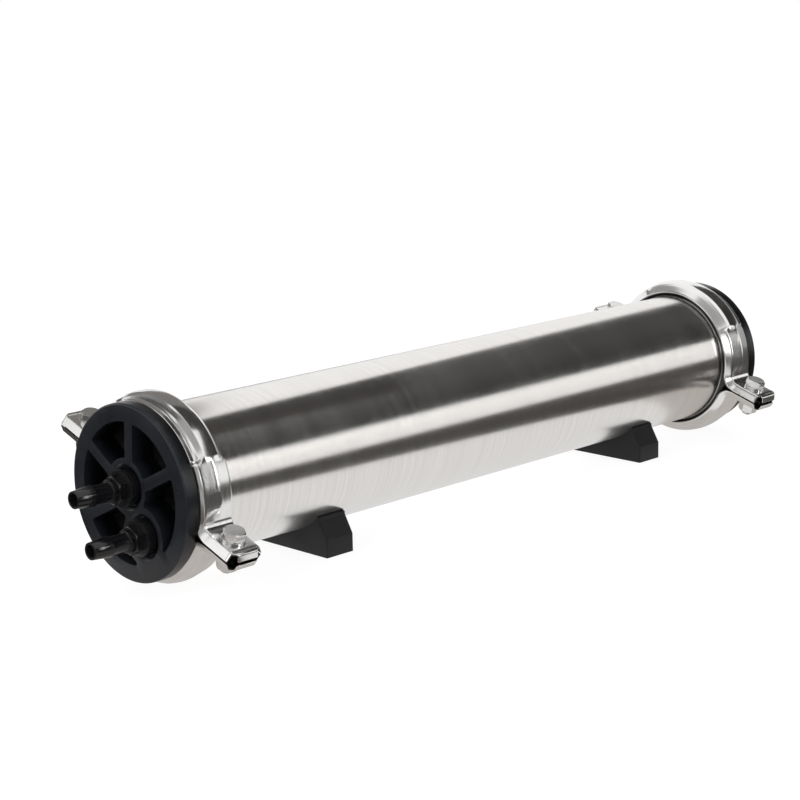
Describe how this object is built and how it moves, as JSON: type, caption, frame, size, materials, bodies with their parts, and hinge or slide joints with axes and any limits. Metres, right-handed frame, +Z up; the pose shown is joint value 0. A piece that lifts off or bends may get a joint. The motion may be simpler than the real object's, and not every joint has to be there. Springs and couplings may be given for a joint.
{
  "type": "membrane pressure vessel",
  "caption": "Horizontal stainless steel membrane housing with clamped black end caps, barbed hose fittings and saddle feet, holding a spiral-wound filter element.",
  "frame": {"origin": "on the ground under the middle of the vessel", "axes": "+X along the vessel towards its rear end, +Y across it, +Z up"},
  "size_m": [0.6788, 0.1754, 0.1261],
  "materials": {
    "tube_steel": "polished stainless steel with a fine grain round the tube",
    "clamp_steel": "pressed stainless steel, bright polished",
    "fastener_steel": "bright stainless steel",
    "cap_plastic": "black moulded plastic, satin",
    "fitting_plastic": "black moulded plastic, glossy",
    "seal_rubber": "black rubber",
    "foot_plastic": "black moulded plastic, matt",
    "element_plastic": "white moulded plastic",
    "element_wrap": "white tape wrap"
  },
  "bodies": {
    "root": {"vessel_tube": "tube_steel", "front_clamp_upper": "clamp_steel", "front_clamp_lower": "clamp_steel", "rear_clamp_upper": "clamp_steel", "rear_clamp_lower": "clamp_steel", "front_clamp_bolts": "fastener_steel", "rear_clamp_bolts": "fastener_steel", "front_clamp_nuts": "fastener_steel", "rear_clamp_nuts": "fastener_steel", "front_clamp_washers": "fastener_steel", "rear_clamp_washers": "fastener_steel", "front_cap": "cap_plastic", "rear_cap": "cap_plastic", "front_centre_fitting": "fitting_plastic", "front_side_fitting": "fitting_plastic", "rear_centre_fitting": "fitting_plastic", "rear_side_fitting": "fitting_plastic", "front_fitting_gaskets": "seal_rubber", "rear_fitting_gaskets": "seal_rubber", "front_head_seals": "seal_rubber", "rear_head_seals": "seal_rubber", "front_core_seals": "seal_rubber", "rear_core_seals": "seal_rubber", "brine_seal": "seal_rubber", "front_foot": "foot_plastic", "rear_foot": "foot_plastic", "core_tube": "element_plastic", "front_end_device": "element_plastic", "rear_end_device": "element_plastic", "membrane_roll": "element_wrap"}
  },
  "joints": []
}
